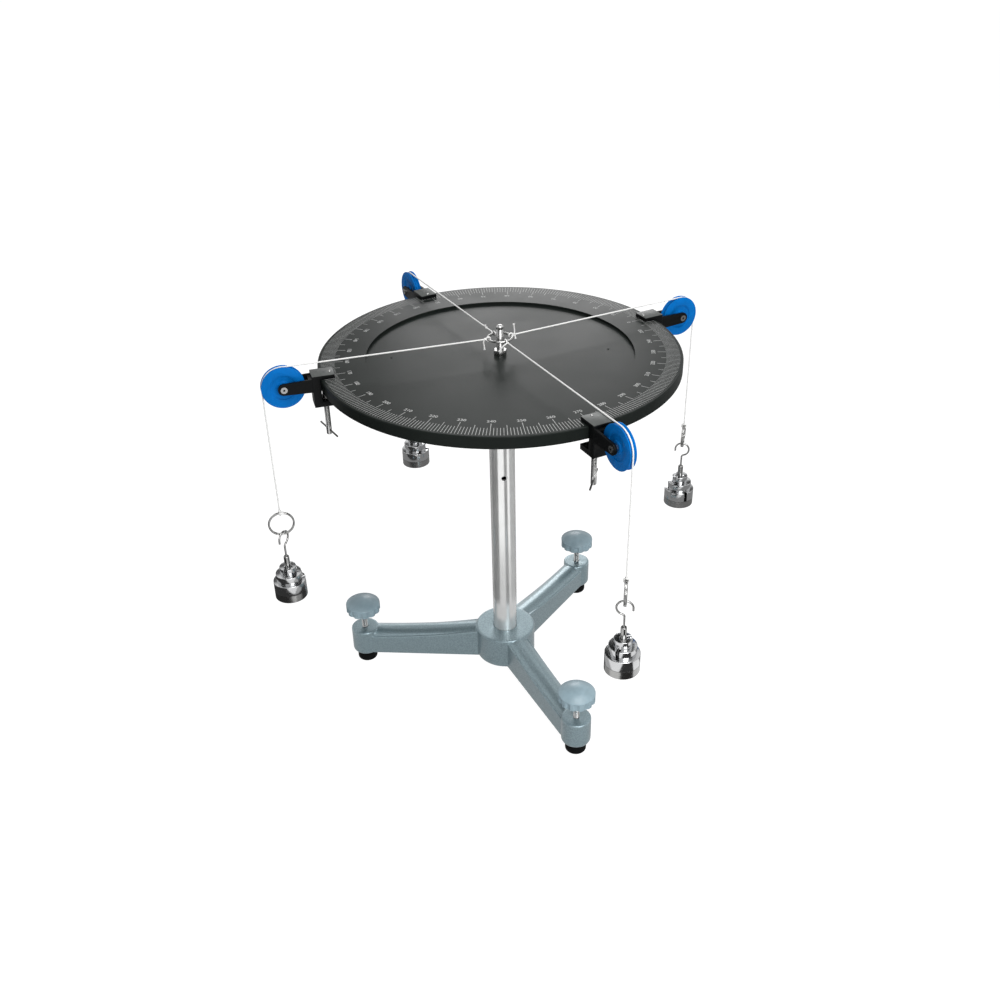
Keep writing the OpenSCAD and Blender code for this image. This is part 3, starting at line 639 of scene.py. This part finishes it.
class FORCETABLE_OT_stage(bpy.types.Operator):
    """Sets up the camera, the floor and the soft light"""
    bl_idname = "force_table.stage"
    bl_label = "Stage"

    FLOOR_SIZE = 60.0
    FLOOR_DROP = 0.0002
    # The share of its own colour that the floor adds to its glow
    FLOOR_SHADE = 0.18
    # The two edges of a card, as (radius, height), in the order that turns its face to the part
    ABOVE = ((1.6, 2.9), (0.05, 2.9))
    BEHIND_CAMERA = ((3.4, 0.2), (3.4, 2.9))
    BEYOND_TABLE = ((3.0, 1.64), (3.0, 2.42))
    OVER_FLOOR = ((0.06, 0.066), (2.2, 0.066))
    # A painted shadow under the base, for reflections only
    UNDER_BASE = ((0.02, 0.0004), (0.28, 0.0004))
    CARD_STEPS = 24

    def execute(self, context):
        scene = context.scene
        stage = scene.force_table_stage
        scene.view_settings.view_transform = "Standard"
        self.camera(scene, stage)
        self.floor(stage)
        self.lights(stage)
        self.flags(stage)
        self.surroundings(scene, stage)
        return {"FINISHED"}

    def camera(self, scene, stage):
        clear_selection()
        bpy.ops.object.camera_add()
        camera = bpy.context.object
        camera.name = "camera"
        dip, turn, roll = stage.camera_dip, stage.camera_turn, stage.camera_roll
        ahead = Vector((math.sin(turn) * math.cos(dip), math.cos(turn) * math.cos(dip), -math.sin(dip)))
        right = Vector((math.cos(turn), -math.sin(turn), 0.0))
        above = right.cross(ahead)
        across = right * math.cos(roll) + above * math.sin(roll)
        upward = above * math.cos(roll) - right * math.sin(roll)
        view = Matrix((across, upward, -ahead)).transposed().to_4x4()
        camera.matrix_world = Matrix.Translation(stage.camera_place) @ view
        camera.data.sensor_width = 36.0
        camera.data.lens = stage.lens
        camera.data.clip_start = 0.01
        camera.data.clip_end = 100.0
        scene.camera = camera

    def floor(self, stage):
        """A plain floor that shows white, and lights the part as its own colour would."""
        paint = material("studio_floor")
        seen = paint.seen()
        plain = paint.node("ShaderNodeBsdfDiffuse", sockets={"Color": (*stage.floor, 1.0)})
        pale = paint.node("ShaderNodeBsdfDiffuse",
                          sockets={"Color": (*rgb(stage.floor, self.FLOOR_SHADE), 1.0)})
        glow = paint.node("ShaderNodeEmission",
                          sockets={"Color": (1.0, 1.0, 1.0, 1.0), "Strength": stage.glow})
        white = paint.node("ShaderNodeAddShader", sockets={0: pale, 1: glow})
        paint.finish(paint.node("ShaderNodeMixShader", sockets={0: seen, 1: plain, 2: white}))
        clear_selection()
        bpy.ops.mesh.primitive_plane_add(size=self.FLOOR_SIZE, location=(0.0, 0.0, -self.FLOOR_DROP))
        floor = bpy.context.object
        floor.name = "studio_floor"
        floor.data.materials.append(FINISHES["studio_floor"])

    def lights(self, stage):
        for name, place, aim, size, power in (
                ("top_light", (0.10, -0.60, 1.95), (0.0, 0.0, 0.3), 1.2, stage.top_light),
                ("front_light", (0.02, -1.40, 0.80), (0.0, 0.0, 0.2), 0.7, stage.front_light),
                ("back_light", (1.15, 2.60, 1.30), (0.0, 0.0, 0.44), 1.0, stage.back_light)):
            clear_selection()
            bpy.ops.object.light_add(type="AREA", location=place)
            light = bpy.context.object
            light.name = name
            light.rotation_euler = (Vector(aim) - Vector(place)).to_track_quat("-Z", "Y").to_euler()
            light.data.shape = "SQUARE"
            light.data.size = size
            light.data.energy = power
            light.visible_camera = False

    def flags(self, stage):
        """Cards that only reflections see, from one side: sectors round the part, by their headings.

        A heading is in degrees from the camera's side, counter-clockwise from above.
        """
        for name, level in (("dark_flag", stage.flag), ("dim_flag", stage.dim_flag),
                            ("pale_flag", stage.pale_flag)):
            paint = material(name)
            behind = paint.node("ShaderNodeNewGeometry", out="Backfacing")
            card = paint.node("ShaderNodeEmission", sockets={"Strength": level})
            clear = paint.node("ShaderNodeBsdfTransparent")
            paint.finish(paint.node("ShaderNodeMixShader", sockets={0: behind, 1: card, 2: clear}))
        front = math.atan2(stage.camera_place[1], stage.camera_place[0])
        steps = self.CARD_STEPS
        for name, finish, first, last, (near, far) in (
                ("flag_above", "dark_flag", -180, 180, self.ABOVE),
                ("flag_behind_left", "dark_flag", -75, -32, self.BEHIND_CAMERA),
                ("flag_behind_right", "dark_flag", 14, 75, self.BEHIND_CAMERA),
                ("flag_beyond", "dark_flag", 130, 230, self.BEYOND_TABLE),
                ("flag_far_left", "dim_flag", -130, -108, self.OVER_FLOOR),
                ("flag_left", "dark_flag", -108, -42, self.OVER_FLOOR),
                ("flag_front", "dark_flag", 12, 42, self.OVER_FLOOR),
                ("flag_right", "dim_flag", 62, 236, self.OVER_FLOOR),
                # Under the base: a painted shadow on the floor, for reflections only
                ("flag_floor_shadow", "pale_flag", -180, 180, self.UNDER_BASE)):
            headings = [front + math.radians(first + (last - first) * k / steps) for k in range(steps + 1)]
            points = [(r * math.cos(a), r * math.sin(a), z) for a in headings for r, z in (near, far)]
            card = bpy.data.meshes.new(name)
            card.from_pydata(points, [], [(2 * k, 2 * k + 1, 2 * k + 3, 2 * k + 2) for k in range(steps)])
            card.update()
            flag = bpy.data.objects.new(name, card)
            bpy.context.collection.objects.link(flag)
            card.materials.append(FINISHES[finish])
            flag.visible_camera = False
            flag.visible_diffuse = False
            flag.visible_transmission = False
            flag.visible_shadow = False

    def surroundings(self, scene, stage):
        world = bpy.data.worlds.new("studio")
        scene.world = world
        paint = Paint(world)
        seen = paint.seen()
        dim = paint.node("ShaderNodeBackground", sockets={0: (1.0, 1.0, 1.0, 1.0), 1: stage.ambient})
        white = paint.node("ShaderNodeBackground", sockets={0: (1.0, 1.0, 1.0, 1.0), 1: 1.0})
        paint.finish(paint.node("ShaderNodeMixShader", sockets={0: seen, 1: dim, 2: white}),
                     "ShaderNodeOutputWorld")


class FORCETABLE_OT_finishes(bpy.types.Operator):
    """Makes the finishes and gives them to the CAD nodes that stay in view"""
    bl_idname = "force_table.finishes"
    bl_label = "Finishes"

    def execute(self, context):
        tint = context.scene.force_table_finish
        jaw_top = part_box("clamp_body_left")[1][2]
        hammered_enamel("hammered_enamel", tint.casting)
        moulded_plastic("knob_plastic", tint.knob, rough=0.34, grain_size=0.0012, gloss=0.5)
        moulded_plastic("pulley_plastic", tint.pulley, rough=0.42, grain_size=0.0009, gloss=0.05)
        black_anodised("black_anodised", tint.table)
        black_enamel("black_enamel", tint.clamp, tint.worn, jaw_top)
        drawn, lathe, brushed = (1.0, 1.0, 0.06), (0.15, 0.15, 1.0), (0.3, 0.3, 1.0)
        bright_metal("satin_column", tint.column, rough=0.16, streak=0.04, stretch=drawn, metal=0.68)
        bright_metal("turned_chrome", tint.chrome, rough=0.12, streak=0.05, stretch=lathe)
        bright_metal("bare_steel", tint.steel, rough=0.20, streak=0.10, stretch=brushed)
        bright_metal("dull_wire", tint.wire, rough=0.16, streak=0.06, stretch=brushed)
        bright_metal("black_steel", tint.pin, rough=0.30, streak=0.06, stretch=brushed)
        moulded_rubber("foot_rubber", tint.rubber)
        twisted_string("twisted_string", tint.string, context.scene.force_table_string.lay)
        scale_ink("scale_ink", tint.ink)
        wear = {"column_tube": "satin_column", "table_stem": "bare_steel", "table_disc": "black_anodised",
                "centre_ring": "dull_wire", "clamp_pad": "bare_steel", "cross_pin": "black_steel",
                "pulley_axle": "dull_wire", "rubber_foot": "foot_rubber", "mass_hanger": "dull_wire"}
        for name, node in NODES.items():
            for start, finish in wear.items():
                if name.startswith(start):
                    coat(node, finish)
        return {"FINISHED"}


class FORCETABLE_OT_strings(bpy.types.Operator):
    """Ties a string from the centre ring over each pulley to its split ring"""
    bl_idname = "force_table.strings"
    bl_label = "Strings"

    # Where each loose end goes, as (out, along the rim, up) steps from the ring's knot, in millimetres
    TAILS = {
        "left": [((1, 0, 0), (2.2, 0.3, -2.5), (1.9, 0.5, -6.5), (1.4, 0.6, -11.5))],
        "right_back": [((1, 0, 0), (1.5, 0.2, 3.5), (1.2, 0.3, 8.0), (0.7, 0.2, 12.3)),
                       ((1, 0, 0), (1.6, -0.8, -2.0), (1.8, -1.4, -4.6))],
        "right_front": [((1, 0, 0), (1.2, -2.8, -1.0), (0.4, -6.4, -4.0), (-0.8, -9.6, -8.6))],
        "left_back": [((15, 0, 0), (16.2, 0.6, 1.6), (16.6, 0.9, 3.2))],
    }
    # How far a second knot sits outside the first, and its size beside the others
    SECOND_KNOTS = {"left_back": (0.015, 0.85)}
    # How far the loop on a split ring sits below the ring's top
    LOOP_DROP = 0.001
    STEP = 0.004
    WRAP_STEPS = 24
    # A drawn knot: its strand and its inset as shares of the string, its length as a share of its reach
    KNOT_STRAND = 0.36
    KNOT_INSET = 0.32
    KNOT_LENGTH = 0.75
    KNOT_STEPS = 60
    # How much wider a loose end frays, and where along it that begins
    FRAY = 0.45
    FRAY_START = 0.75
    TAIL_STEPS = 8

    def execute(self, context):
        tie = context.scene.force_table_string
        for clamp in CLAMPS:
            self.string(tie, clamp)
        return {"FINISHED"}

    def string(self, tie, clamp):
        turn = clamp_turn(clamp)
        out, rim, up = (turn @ Vector(way) for way in ((1, 0, 0), (0, 1, 0), (0, 0, 1)))
        axle = pivot(f"pulley_{clamp}_spin")
        leave = pivot(f"string_{clamp}_swing")
        wrap = (leave - axle).length
        ring_wire = out * tie.ring_radius + up * (axle.z + wrap)
        start = ring_wire + out * (tie.ring_loop + tie.knot_step)
        split_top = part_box(f"wire_ring_{clamp}")[1][2] - self.LOOP_DROP
        split_wire = Vector((leave.x, leave.y, split_top))
        end = split_wire + up * tie.split_loop
        path = self.line(start, axle + up * wrap)
        path += [axle + (out * math.sin(a) + up * math.cos(a)) * wrap
                 for a in (math.pi / 2 * k / self.WRAP_STEPS for k in range(1, self.WRAP_STEPS))]
        path += self.line(leave, end)
        run = sum((b - a).length for a, b in zip(path, path[1:]))

        tail_pieces = [self.ring_loop(tie, clamp, ring_wire, out, up, start)]
        for i, steps in enumerate(self.TAILS[clamp]):
            name = f"string_tail_{clamp}_{i + 1}"
            tail_pieces.append(self.tail(tie, name, start, (out, rim, up), steps))
        if clamp in self.SECOND_KNOTS:
            step, size = self.SECOND_KNOTS[clamp]
            name = f"string_second_knot_{clamp}"
            tail_pieces.append(self.knot(tie, name, start + out * step, out, up, size))
        for piece in tail_pieces:
            dress(piece, f"clamp_{clamp}", "twisted_string", "string")

        way = axis(f"hanger_{clamp}_swing")
        loop = tube(f"split_ring_loop_{clamp}", circle(split_wire, way.cross(up), up, tie.split_loop),
                    tie.thickness / 2, closed=True)
        knot = self.knot(tie, f"split_ring_knot_{clamp}", end, up, out)
        low_pieces = [dress(piece, f"drop_{clamp}", "twisted_string", "string") for piece in (loop, knot)]

        cord = tube(f"string_{clamp}", path, tie.thickness / 2)
        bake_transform(cord)
        coat(cord, "twisted_string")
        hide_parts(f"string_run_{clamp}", f"string_drop_{clamp}")
        tail_pieces + low_pieces

    def line(self, start, end):
        count = max(2, round((end - start).length / self.STEP))
        return [start.lerp(end, k / count) for k in range(count + 1)]

    def ring_loop(self, tie, clamp, wire, out, up, start):
        loop = tube(f"ring_loop_{clamp}", circle(wire, out, up, tie.ring_loop), tie.thickness / 2,
                    closed=True)
        knot = self.knot(tie, f"ring_knot_{clamp}", start, out, up)
        return joined([loop, knot], f"ring_loop_{clamp}")

    def knot(self, tie, name, centre, along, across, size=1.0):
        """A trefoil drawn tight, with the string passing through it."""
        third = along.cross(across)
        reach = tie.knot * size / 2.0 - tie.thickness * self.KNOT_INSET
        points = []
        for k in range(self.KNOT_STEPS):
            a = FULL_TURN * k / self.KNOT_STEPS
            x = math.sin(a) + 2 * math.sin(2 * a)
            y = math.cos(a) - 2 * math.cos(2 * a)
            z = -math.sin(3 * a)
            points.append(centre + (across * x + third * y) * (reach / 3.0)
                          + along * z * (reach * self.KNOT_LENGTH))
        return tube(name, points, tie.thickness * self.KNOT_STRAND, sides=8, closed=True)

    def tail(self, tie, name, start, ways, steps):
        """A short loose end, smoothed through its points and frayed wider where it was cut."""
        marks = [start + sum((way * (step * MM) for way, step in zip(ways, point)), Vector())
                 for point in steps]
        points = []
        for i in range(len(marks) - 1):
            p0, p1, p2 = marks[max(i - 1, 0)], marks[i], marks[i + 1]
            p3 = marks[min(i + 2, len(marks) - 1)]
            for k in range(self.TAIL_STEPS):
                t = k / self.TAIL_STEPS
                points.append(0.5 * (2 * p1 + (p2 - p0) * t + (2 * p0 - 5 * p1 + 4 * p2 - p3) * t * t
                                     + (3 * p1 - p0 - 3 * p2 + p3) * t ** 3))
        points.append(marks[-1])
        thick = tie.thickness / 2
        last = len(points) - 1
        frayed = [max(0.0, (k / last - self.FRAY_START) / (1.0 - self.FRAY_START)) for k in range(last + 1)]
        radii = [thick * (1.0 + self.FRAY * share) for share in frayed]
        return tube(name, points, radii)


class FORCETABLE_OT_casting(bpy.types.Operator):
    """Makes the tripod a soft-edged casting"""
    bl_idname = "force_table.casting"
    bl_label = "Tripod casting"

    VOXEL = 0.0006
    # Radii inside which the bores keep their edges
    SCREW_BORE = 0.0056
    COLUMN_BORE = 0.0172
    # How far a lip runs into its boss, and the share of its radius that it lies lower
    LIP_OVERLAP = 0.003
    LIP_SINK = 0.2
    LIP_STEPS = 32

    def execute(self, context):
        piece = cad_copy("tripod_base", "tripod_casting")
        piece = joined([piece] + self.lips(context.scene.force_table_casting), "tripod_casting")
        bores = [(pivot(f"leveller_{foot}_turn").xy, self.SCREW_BORE) for foot in FEET]
        bores.append((Vector((0.0, 0.0)), self.COLUMN_BORE))
        cast(piece, self.VOXEL, bores, rounds=1, share=0.27)
        dress(piece, "stand", "hammered_enamel", "base_paint", "tripod_base")
        return {"FINISHED"}

    def lips(self, form):
        """The rounded lip along both ledges of each arm."""
        pieces = []
        for foot in FEET:
            place = pivot(f"leveller_{foot}_turn")
            reach = place.xy.length
            out = Vector((place.x, place.y, 0.0)) / reach
            span = reach - form.boss_radius + self.LIP_OVERLAP - form.lip_start
            for hand in (-1.0, 1.0):
                aside = Vector((-out.y, out.x, 0.0)) * (hand * form.lip_place)
                points = []
                for k in range(self.LIP_STEPS + 1):
                    run = form.lip_start + span * k / self.LIP_STEPS
                    rise = form.rise - math.sqrt(form.rise ** 2 - (reach - run) ** 2)
                    height = form.ledge + rise - form.lip_radius * self.LIP_SINK
                    points.append(out * run + aside + UP * height)
                pieces.append(tube(f"lip_{foot}", points, form.lip_radius, sides=16))
        return pieces


class FORCETABLE_OT_scale(bpy.types.Operator):
    """Prints the degree marks and their numbers on the table"""
    bl_idname = "force_table.scale"
    bl_label = "Degree scale"

    def execute(self, context):
        scale = context.scene.force_table_scale
        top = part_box("table_disc")[1][2]
        level = top + scale.proud
        pieces = [
            self.marks(scale, level, 360, scale.outer, scale.degree_end, weight=1.0),
            self.marks(scale, level, 72, scale.degree_end, scale.five_end, weight=1.1),
            self.marks(scale, level, 36, scale.five_end, scale.ten_end, weight=1.2),
        ]
        pieces += [self.number(scale, level, degrees) for degrees in range(0, 360, 10)]
        piece = joined(pieces, "degree_scale")
        settle(piece, Matrix.Rotation(scale.zero, 4, "Z"))
        dress(piece, "stand", "scale_ink", "string")
        return {"FINISHED"}

    def marks(self, scale, level, count, outer, inner, weight):
        clear_selection()
        bpy.ops.mesh.primitive_plane_add(size=1.0)
        piece = bpy.context.object
        size = Matrix.Diagonal((outer - inner, scale.mark_width * weight, 1.0, 1.0))
        settle(piece, Matrix.Translation(((outer + inner) / 2.0, 0.0, level)) @ size)
        edit(piece)
        bpy.ops.mesh.spin(steps=count - 1, dupli=True, angle=FULL_TURN * (count - 1) / count,
                          center=(0.0, 0.0, level), axis=UP)
        done()
        return piece

    def number(self, scale, level, degrees):
        clear_selection()
        bpy.ops.object.text_add()
        text = bpy.context.object
        text.data.body = str(degrees)
        text.data.align_x = "CENTER"
        text.data.align_y = "CENTER"
        text.data.size = scale.number_size
        text.data.resolution_u = 3
        text.data.offset = scale.number_weight
        bpy.ops.object.convert(target="MESH")
        piece = bpy.context.object
        way = math.radians(degrees)
        out = Vector((math.cos(way), math.sin(way), 0.0))
        rim = Vector((-math.sin(way), math.cos(way), 0.0))
        stand = Matrix((rim, -out, UP)).transposed().to_4x4()
        place = out * scale.number_radius + UP * level
        return settle(piece, Matrix.Translation(place) @ stand)


class FORCETABLE_OT_post(bpy.types.Operator):
    """Turns the centre post with its domed head, and chamfers its nut"""
    bl_idname = "force_table.post"
    bl_label = "Centre post"

    # The groove under the head, as (share of the radius, depth below the top)
    GROOVE = ((1.0, 0.0058), (0.90, 0.0052), (0.90, 0.0046), (1.0, 0.0040))
    DOME = 0.0020
    DOME_DEGREES = (15, 30, 45, 60, 75, 86)
    NUT_CHAMFER = 0.0005

    def execute(self, context):
        low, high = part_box("centre_post")
        radius = (high[0] - low[0]) / 2.0
        top = high[2]
        profile = [(radius, low[2])]
        profile += [(radius * share, top - depth) for share, depth in self.GROOVE]
        profile.append((radius, top - self.DOME))
        profile += [(radius * math.cos(a), top - self.DOME + self.DOME * math.sin(a))
                    for a in map(math.radians, self.DOME_DEGREES)]
        post = turned("post_head", profile)
        smooth(post, limit=40.0)
        dress(post, "stand", "bare_steel", "steel", "centre_post")
        nut = softened("post_nut", "post_nut_chamfered", self.NUT_CHAMFER)
        dress(nut, "stand", "bare_steel", "steel", "post_nut")
        return {"FINISHED"}


class FORCETABLE_OT_levellers(bpy.types.Operator):
    """Moulds the levelling knobs and threads their screws"""
    bl_idname = "force_table.levellers"
    bl_label = "Levelling feet"

    VOXEL = 0.00055
    KNOB_BORE = 0.0052
    PITCH = 0.00125
    THREAD_DEPTH = 0.00055
    CORE_DEPTH = 0.0006
    CHAMFER = 0.0006
    # How far the thread stays off the rubber foot and the screw's top
    END = 0.001
    # The screw's foot end as a share of its radius
    NARROW = 0.82

    def execute(self, context):
        knob = self.knob()
        screw = self.screw()
        first = pivot("leveller_front_turn")
        for foot in FEET:
            place = pivot(f"leveller_{foot}_turn")
            turn = Matrix.Rotation(math.atan2(place.y, place.x) - math.atan2(first.y, first.x), 4, "Z")
            dress(twin(knob, f"knob_{foot}", turn), f"leveller_{foot}", "knob_plastic", "knob_plastic",
                  f"levelling_knob_{foot}")
            dress(twin(screw, f"foot_thread_{foot}", turn), f"leveller_{foot}", "bare_steel", "steel",
                  f"levelling_screw_{foot}")
        for pattern in (knob, screw):
            bpy.data.objects.remove(pattern)
        return {"FINISHED"}

    def knob(self):
        piece = cad_copy("levelling_knob_front", "knob_pattern")
        bores = [(pivot("leveller_front_turn").xy, self.KNOB_BORE)]
        cast(piece, self.VOXEL, bores, rounds=3, share=0.5)
        return piece

    def screw(self):
        low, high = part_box("levelling_screw_front")
        radius = (high[0] - low[0]) / 2.0
        core = radius - self.CORE_DEPTH
        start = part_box("rubber_foot_front")[1][2] + self.END
        thread = threaded("screw_pattern", start, high[2] - self.END, radius, self.THREAD_DEPTH, self.PITCH)
        shank = turned("screw_core", [(core, low[2]), (core, high[2])], steps=24)
        tip = turned("screw_tip", [(radius * self.NARROW, low[2]), (radius, low[2] + self.CHAMFER),
                                   (radius, start), (core, start + self.CHAMFER)], steps=24)
        piece = joined([thread, shank, tip], "screw_pattern")
        place = pivot("leveller_front_turn")
        settle(piece, Matrix.Translation((place.x, place.y, 0.0)))
        smooth(piece, limit=30.0)
        return piece


class FORCETABLE_OT_clamps(bpy.types.Operator):
    """Rounds the clamps' edges, sets their rivets and threads their screws"""
    bl_idname = "force_table.clamps"
    bl_label = "Pulley clamps"

    EDGE = 0.0006
    RIVET_PLACE = 0.1890
    # The rivet's head, as (radius, height above the jaw)
    RIVET = ((0.0016, -0.0005), (0.0016, 0.0002), (0.0013, 0.00055), (0.0008, 0.0008), (0.0003, 0.00088))
    PITCH = 0.001
    THREAD_DEPTH = 0.0005
    CORE_DEPTH = 0.00055
    CHAMFER = 0.0006
    # How far above the cross pin the plain head ends, how deep the core sits in it, and its slope
    COLLAR = 0.0042
    SEAT = 0.001
    SHOULDER = 0.0005
    # How far below the screw's top the thread and the core end, and how long the plain tip is
    THREAD_END = 0.0022
    CORE_END = 0.0017
    TIP_LENGTH = 0.0016
    # The tip and the head's end as shares of the screw's radius
    TIP = 0.66
    NARROW = 0.86

    def execute(self, context):
        for clamp in CLAMPS:
            body = softened(f"clamp_body_{clamp}", f"clamp_{clamp}_enamelled", self.EDGE)
            dress(body, f"clamp_{clamp}", "black_enamel", "clamp_black", f"clamp_body_{clamp}")
            self.rivet(clamp)
            self.screw(clamp)
        return {"FINISHED"}

    def rivet(self, clamp):
        """The bright rivet head on the upper jaw."""
        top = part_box(f"clamp_body_{clamp}")[1][2]
        head = turned(f"jaw_rivet_{clamp}", [(radius, top + height) for radius, height in self.RIVET],
                      steps=24)
        settle(head, clamp_turn(clamp) @ Matrix.Translation((self.RIVET_PLACE, 0.0, 0.0)))
        smooth(head, limit=50.0)
        dress(head, f"clamp_{clamp}", "dull_wire", "steel")

    def screw(self, clamp):
        low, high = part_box(f"clamp_screw_{clamp}")
        bottom, top = low[2], high[2]
        radius = (high[0] - low[0]) / 2.0
        core = radius - self.CORE_DEPTH
        tip = radius * self.TIP
        pin_low, pin_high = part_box(f"cross_pin_{clamp}")
        collar = (pin_low[2] + pin_high[2]) / 2.0 + self.COLLAR
        thread = threaded(f"clamp_thread_{clamp}", collar, top - self.THREAD_END, radius,
                          self.THREAD_DEPTH, self.PITCH)
        shank = turned(f"clamp_core_{clamp}", [(core, collar - self.SEAT), (core, top - self.CORE_END),
                                               (tip, top - self.TIP_LENGTH), (tip, top)], steps=24)
        head = turned(f"clamp_screw_head_{clamp}", [
            (radius * self.NARROW, bottom), (radius, bottom + self.CHAMFER),
            (radius, collar), (core, collar + self.SHOULDER)], steps=24)
        piece = joined([thread, shank, head], f"clamp_thread_{clamp}")
        place = pivot(f"screw_{clamp}_turn")
        settle(piece, Matrix.Translation((place.x, place.y, 0.0)))
        smooth(piece, limit=30.0)
        dress(piece, f"screw_{clamp}", "bare_steel", "steel", f"clamp_screw_{clamp}")


class FORCETABLE_OT_pulleys(bpy.types.Operator):
    """Rounds the moulded edges of the pulleys"""
    bl_idname = "force_table.pulleys"
    bl_label = "Pulleys"

    EDGE = 0.00045

    def execute(self, context):
        for clamp in CLAMPS:
            wheel = softened(f"pulley_{clamp}", f"pulley_{clamp}_moulded", self.EDGE, limit=25.0)
            dress(wheel, f"wheel_{clamp}", "pulley_plastic", "pulley_blue", f"pulley_{clamp}")
        return {"FINISHED"}


class FORCETABLE_OT_hanging(bpy.types.Operator):
    """Coils the split rings and rounds the edges of the slotted masses"""
    bl_idname = "force_table.hanging"
    bl_label = "Rings and masses"

    EDGE = 0.0013
    WIRE = 0.0021
    COIL_TURNS = 2.0
    COIL_STEPS = 144
    COIL_START = 0.9
    # Where along the turns the wire steps over, how long that takes and how far it goes
    STEP_OVER = 0.96
    STEP_TURN = 0.08
    STEP_WIDTH = 0.00135

    def execute(self, context):
        for clamp in CLAMPS:
            self.split_ring(clamp)
            masses = softened(f"slotted_masses_{clamp}", f"masses_{clamp}_turned", self.EDGE, steps=4)
            dress(masses, f"masses_{clamp}", "turned_chrome", "chrome", f"slotted_masses_{clamp}")
        return {"FINISHED"}

    def split_ring(self, clamp):
        """Two turns of wire lying against each other, stepping over where they cross."""
        low, high = (Vector(corner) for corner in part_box(f"wire_ring_{clamp}"))
        centre = (low + high) / 2.0
        radius = (high.z - low.z) / 2.0 - self.WIRE / 2.0
        way = axis(f"hanger_{clamp}_swing")
        face = way.cross(UP)
        points = []
        for k in range(self.COIL_STEPS + 1):
            turn = self.COIL_TURNS * k / self.COIL_STEPS
            step = min(1.0, max(0.0, (turn - self.STEP_OVER) / self.STEP_TURN))
            shift = (step * step * (3.0 - 2.0 * step) - 0.5) * self.STEP_WIDTH
            a = FULL_TURN * turn + self.COIL_START
            points.append(centre + (way * math.cos(a) + UP * math.sin(a)) * radius + face * shift)
        ring = tube(f"split_ring_{clamp}", points, self.WIRE / 2.0, sides=12)
        smooth(ring, limit=50.0)
        dress(ring, f"drop_{clamp}", "dull_wire", "chrome", f"wire_ring_{clamp}")


class FORCETABLE_PT_panel(bpy.types.Panel):
    """Lists the steps that dress the force table"""
    bl_label = "Force Table"
    bl_idname = "FORCETABLE_PT_panel"
    bl_space_type = "VIEW_3D"
    bl_region_type = "UI"
    bl_category = "Force Table"

    def draw(self, context):
        for operator in OPERATORS:
            self.layout.operator(operator.bl_idname)
        for group in SETTINGS:
            settings = getattr(context.scene, group)
            box = self.layout.box()
            for key in settings.bl_rna.properties.keys():
                if key not in {"rna_type", "name"}:
                    box.prop(settings, key)


OPERATORS = (
    FORCETABLE_OT_stage,
    FORCETABLE_OT_finishes,
    FORCETABLE_OT_strings,
    FORCETABLE_OT_casting,
    FORCETABLE_OT_scale,
    FORCETABLE_OT_post,
    FORCETABLE_OT_levellers,
    FORCETABLE_OT_clamps,
    FORCETABLE_OT_pulleys,
    FORCETABLE_OT_hanging,
)


def register():
    for group in SETTINGS.values():
        bpy.utils.register_class(group)
    for name, group in SETTINGS.items():
        setattr(bpy.types.Scene, name, PointerProperty(type=group))
    for item in OPERATORS + (FORCETABLE_PT_panel,):
        bpy.utils.register_class(item)


def unregister():
    for item in reversed(OPERATORS + (FORCETABLE_PT_panel,)):
        bpy.utils.unregister_class(item)
    for name, group in SETTINGS.items():
        delattr(bpy.types.Scene, name)
        bpy.utils.unregister_class(group)


def main():
    register()
    bpy.ops.force_table.stage()
    bpy.ops.force_table.finishes()
    bpy.ops.force_table.strings()
    bpy.ops.force_table.casting()
    bpy.ops.force_table.scale()
    bpy.ops.force_table.post()
    bpy.ops.force_table.levellers()
    bpy.ops.force_table.clamps()
    bpy.ops.force_table.pulleys()
    bpy.ops.force_table.hanging()
    clear_selection()


if __name__ == "__main__":
    main()
